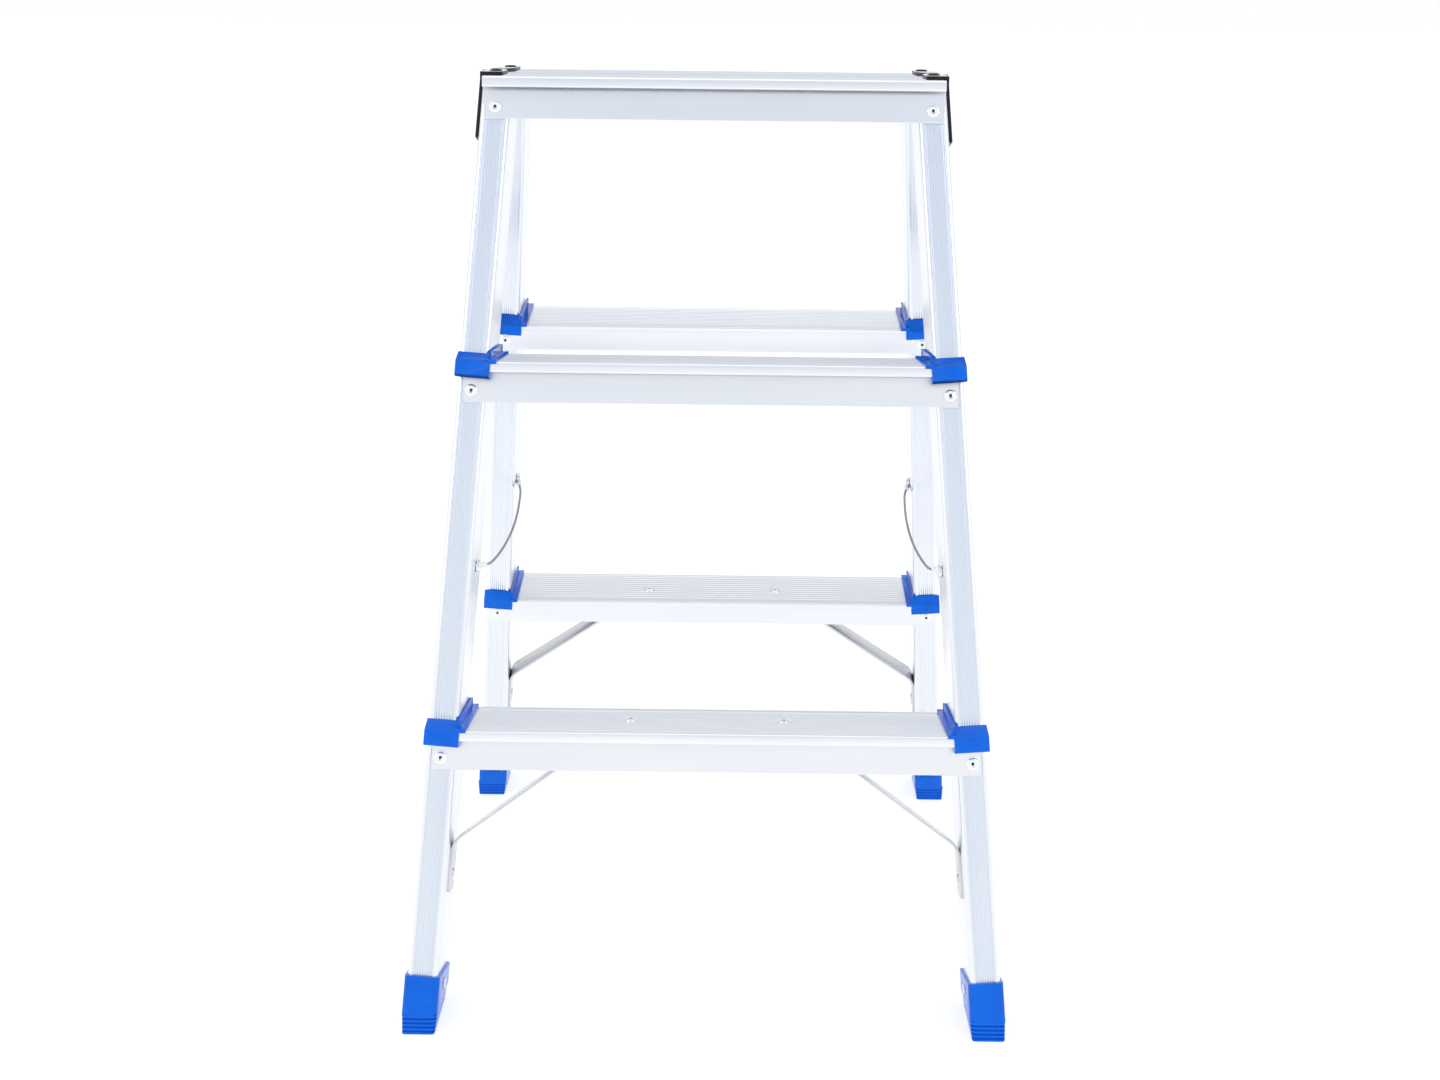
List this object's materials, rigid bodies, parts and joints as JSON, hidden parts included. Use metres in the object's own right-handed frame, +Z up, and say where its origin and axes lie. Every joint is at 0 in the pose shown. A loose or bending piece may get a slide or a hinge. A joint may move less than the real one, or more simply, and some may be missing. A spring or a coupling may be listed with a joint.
{
  "type": "step_ladder",
  "caption": "Two-way folding aluminium step ladder with notched treads, blue plastic tread caps and feet, hinged top step and wire rope stays",
  "frame": {"origin": "On the floor, under the hinge axis, midway between the two stiles", "axes": "+Z up; X along the steps, +X to the right when facing the front frame; the front frame stands on the -Y side and the rear frame on the +Y side"},
  "size_m": [0.4262, 0.4968, 0.6575],
  "materials": {
    "stile_aluminium": "drawn, fine ribs in a shallow channel",
    "tread_aluminium": "extruded with lengthwise grip grooves",
    "stay_strip": "flat strip, smooth",
    "blue_plastic": "moulded, satin",
    "dark_steel": "dark coated pressed steel",
    "rivet_metal": "smooth blind rivets",
    "wire_rope": "twisted steel strands"
  },
  "bodies": {
    "front_frame": {"front_left_stile": "stile_aluminium", "front_right_stile": "stile_aluminium", "front_top_step": "tread_aluminium", "front_middle_tread": "tread_aluminium", "front_bottom_tread": "tread_aluminium", "front_middle_left_cap": "blue_plastic", "front_middle_right_cap": "blue_plastic", "front_bottom_left_cap": "blue_plastic", "front_bottom_right_cap": "blue_plastic", "front_left_foot": "blue_plastic", "front_right_foot": "blue_plastic", "front_left_stay": "stay_strip", "front_right_stay": "stay_strip", "front_left_hinge_leaf": "dark_steel", "front_right_hinge_leaf": "dark_steel", "front_tread_rivets": "rivet_metal", "front_stay_rivets": "rivet_metal", "front_hinge_rivets": "dark_steel", "front_foot_rivets": "rivet_metal", "front_wire_rivets": "rivet_metal", "front_wire_ferrules": "rivet_metal", "left_hinge_pin": "dark_steel", "right_hinge_pin": "dark_steel", "left_wire_rope": "wire_rope", "right_wire_rope": "wire_rope"},
    "rear_frame": {"rear_left_stile": "stile_aluminium", "rear_right_stile": "stile_aluminium", "rear_top_step": "tread_aluminium", "rear_middle_tread": "tread_aluminium", "rear_bottom_tread": "tread_aluminium", "rear_middle_left_cap": "blue_plastic", "rear_middle_right_cap": "blue_plastic", "rear_bottom_left_cap": "blue_plastic", "rear_bottom_right_cap": "blue_plastic", "rear_left_foot": "blue_plastic", "rear_right_foot": "blue_plastic", "rear_left_stay": "stay_strip", "rear_right_stay": "stay_strip", "rear_left_hinge_leaf": "dark_steel", "rear_right_hinge_leaf": "dark_steel", "rear_tread_rivets": "rivet_metal", "rear_stay_rivets": "rivet_metal", "rear_hinge_rivets": "dark_steel", "rear_foot_rivets": "rivet_metal", "rear_wire_rivets": "rivet_metal", "rear_wire_ferrules": "rivet_metal"}
  },
  "joints": [
    {"name": "fold", "type": "hinge", "parent": "front_frame", "child": "rear_frame", "pos_m": [0, 0, 0.629], "axis": [1, 0, 0], "range_deg": [-30, 0], "deforming": ["left_wire_rope", "right_wire_rope"]}
  ]
}
